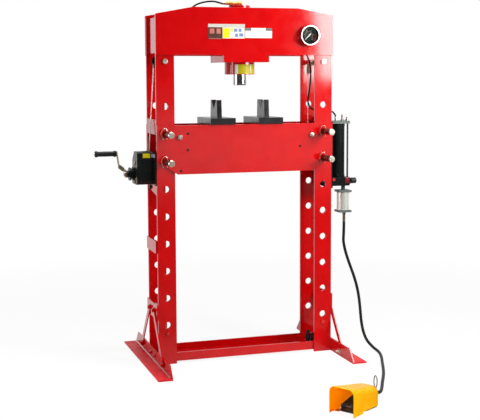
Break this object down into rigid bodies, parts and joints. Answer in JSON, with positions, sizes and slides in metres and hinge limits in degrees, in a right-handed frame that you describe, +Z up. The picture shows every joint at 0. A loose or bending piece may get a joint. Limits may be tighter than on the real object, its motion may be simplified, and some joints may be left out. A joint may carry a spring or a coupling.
{
  "type": "hydraulic shop press",
  "caption": "Floor-standing H-frame hydraulic shop press with air pump, pressure gauge, pinned table lifted by a hand winch, V-blocks and a hosed foot pedal.",
  "frame": {"origin": "middle of the footprint on the floor, crank and foot pedal included, free air hose left out", "axes": "+Z up, +X to the pump side, -Y to the front, where the pedal stands"},
  "size_m": [1.4608, 1.6218, 1.8648],
  "materials": {
    "red_paint": "gloss red paint",
    "black_paint": "satin black paint",
    "blackened_steel": "blackened steel",
    "zinc_plate": "zinc plated",
    "chromed_steel": "polished chrome",
    "brass": "plain brass",
    "black_rubber": "matt black rubber",
    "grey_cast": "grey casting",
    "silver_can": "brushed silver",
    "yellow_plastic": "moulded yellow plastic",
    "black_plastic": "moulded black plastic",
    "dial_black": "printed black dial",
    "needle_white": "white needle",
    "gauge_glass": "clear glass",
    "plain_steel": "bright steel"
  },
  "bodies": {
    "frame": {"post_left": "red_paint", "post_right": "red_paint", "head_plate_front": "red_paint", "head_plate_rear": "red_paint", "cylinder_mount_box": "red_paint", "cylinder_barrel": "red_paint", "cylinder_cap": "red_paint", "cylinder_gland": "plain_steel", "inlet_elbow": "brass", "hydraulic_hose": "black_rubber", "gauge_case": "chromed_steel", "gauge_dial": "dial_black", "gauge_lens": "gauge_glass", "foot_left": "red_paint", "foot_right": "red_paint", "foot_brace_left_front": "red_paint", "foot_brace_left_rear": "red_paint", "foot_brace_right_front": "red_paint", "foot_brace_right_rear": "red_paint", "bottom_beam": "red_paint", "table_plate_front": "red_paint", "table_plate_rear": "red_paint", "table_web_left": "red_paint", "table_web_right": "red_paint", "table_tie_rod_left": "zinc_plate", "table_tie_rod_right": "zinc_plate", "pulley_axle": "zinc_plate", "anchor_axle": "zinc_plate", "lift_rope": "plain_steel", "winch_frame": "black_paint", "winch_cover": "black_paint", "pump_bracket": "black_paint", "pump_base": "black_paint", "pump_reservoir": "black_paint", "pump_top_plate": "grey_cast", "air_motor": "silver_can", "pedal_base": "black_plastic", "pedal_guard": "yellow_plastic", "pedal_spring": "plain_steel", "pedal_valve": "black_plastic", "air_hose": "black_rubber"},
    "ram": {"ram": "chromed_steel", "piston": "plain_steel", "piston_seal": "black_rubber"},
    "needle": {"gauge_needle": "needle_white"},
    "crank": {"pinion_shaft": "black_paint", "crank_arm": "zinc_plate"},
    "grip": {"crank_grip": "black_plastic"},
    "drum": {"winch_drum": "plain_steel"},
    "pulley": {"head_pulley": "black_paint"},
    "roller_left": {"rope_roller_left": "plain_steel"},
    "roller_right": {"rope_roller_right": "plain_steel"},
    "pin_lower_left": {"table_pin_1": "zinc_plate"},
    "pin_upper_left": {"table_pin_2": "zinc_plate"},
    "pin_lower_right": {"table_pin_3": "zinc_plate"},
    "pin_upper_right": {"table_pin_4": "zinc_plate"},
    "block_left": {"v_block_left": "blackened_steel"},
    "block_right": {"v_block_right": "blackened_steel"},
    "knob": {"release_knob": "black_plastic"},
    "treadle": {"pedal_treadle": "black_plastic"}
  },
  "joints": [
    {"name": "ram_stroke", "type": "slide", "parent": "frame", "child": "ram", "axis": [0, 0, -1], "range_m": [0, 0.2], "stiffness_N_per_m": 1500, "springref_m": -0.15},
    {"name": "needle_turn", "type": "hinge", "parent": "frame", "child": "needle", "pos_m": [0.38265, 0.27026, 1.684], "axis": [0, 1, 0], "range_deg": [0, 270], "stiffness_Nm_per_rad": 0.002, "springref_deg": -11.46},
    {"name": "crank_turn", "type": "hinge", "parent": "frame", "child": "crank", "pos_m": [-0.43765, 0.42686, 0.978], "axis": [1, 0, 0], "continuous": true},
    {"name": "grip_spin", "type": "hinge", "parent": "crank", "child": "grip", "pos_m": [-0.64435, 0.50486, 1.078], "axis": [1, 0, 0], "continuous": true},
    {"name": "drum_turn", "type": "hinge", "parent": "frame", "child": "drum", "pos_m": [-0.43765, 0.39686, 1.035], "axis": [1, 0, 0], "continuous": true},
    {"name": "pulley_turn", "type": "hinge", "parent": "frame", "child": "pulley", "pos_m": [-0.38185, 0.40086, 1.55], "axis": [0, 1, 0], "continuous": true},
    {"name": "roller_left_turn", "type": "hinge", "parent": "frame", "child": "roller_left", "pos_m": [-0.30635, 0.40086, 1.01], "axis": [0, 1, 0], "continuous": true},
    {"name": "roller_right_turn", "type": "hinge", "parent": "frame", "child": "roller_right", "pos_m": [0.39765, 0.40086, 1.01], "axis": [0, 1, 0], "continuous": true},
    {"name": "pin_lower_left_draw", "type": "slide", "parent": "frame", "child": "pin_lower_left", "axis": [0, -1, 0], "range_m": [0, 0.26]},
    {"name": "pin_upper_left_draw", "type": "slide", "parent": "frame", "child": "pin_upper_left", "axis": [0, -1, 0], "range_m": [0, 0.26]},
    {"name": "pin_lower_right_draw", "type": "slide", "parent": "frame", "child": "pin_lower_right", "axis": [0, -1, 0], "range_m": [0, 0.26]},
    {"name": "pin_upper_right_draw", "type": "slide", "parent": "frame", "child": "pin_upper_right", "axis": [0, -1, 0], "range_m": [0, 0.26]},
    {"name": "block_left_slide", "type": "slide", "parent": "frame", "child": "block_left", "axis": [1, 0, 0], "range_m": [-0.15, 0.02]},
    {"name": "block_right_slide", "type": "slide", "parent": "frame", "child": "block_right", "axis": [1, 0, 0], "range_m": [-0.02, 0.15]},
    {"name": "release_turn", "type": "hinge", "parent": "frame", "child": "knob", "pos_m": [0.69065, 0.40086, 0.9065], "axis": [1, 0, 0], "range_deg": [0, 90]},
    {"name": "treadle_press", "type": "hinge", "parent": "frame", "child": "treadle", "pos_m": [0.18627, -0.72312, 0.024], "axis": [-0.5284, 0.849, 0], "range_deg": [0, 10], "stiffness_Nm_per_rad": 2, "springref_deg": -28.65}
  ],
  "couplings": [
    {"joint": "drum_turn", "follows": "crank_turn", "ratio": -0.28571},
    {"joint": "pulley_turn", "follows": "crank_turn", "ratio": 0.25427},
    {"joint": "roller_left_turn", "follows": "crank_turn", "ratio": -0.12917},
    {"joint": "roller_right_turn", "follows": "crank_turn", "ratio": -0.12917}
  ]
}
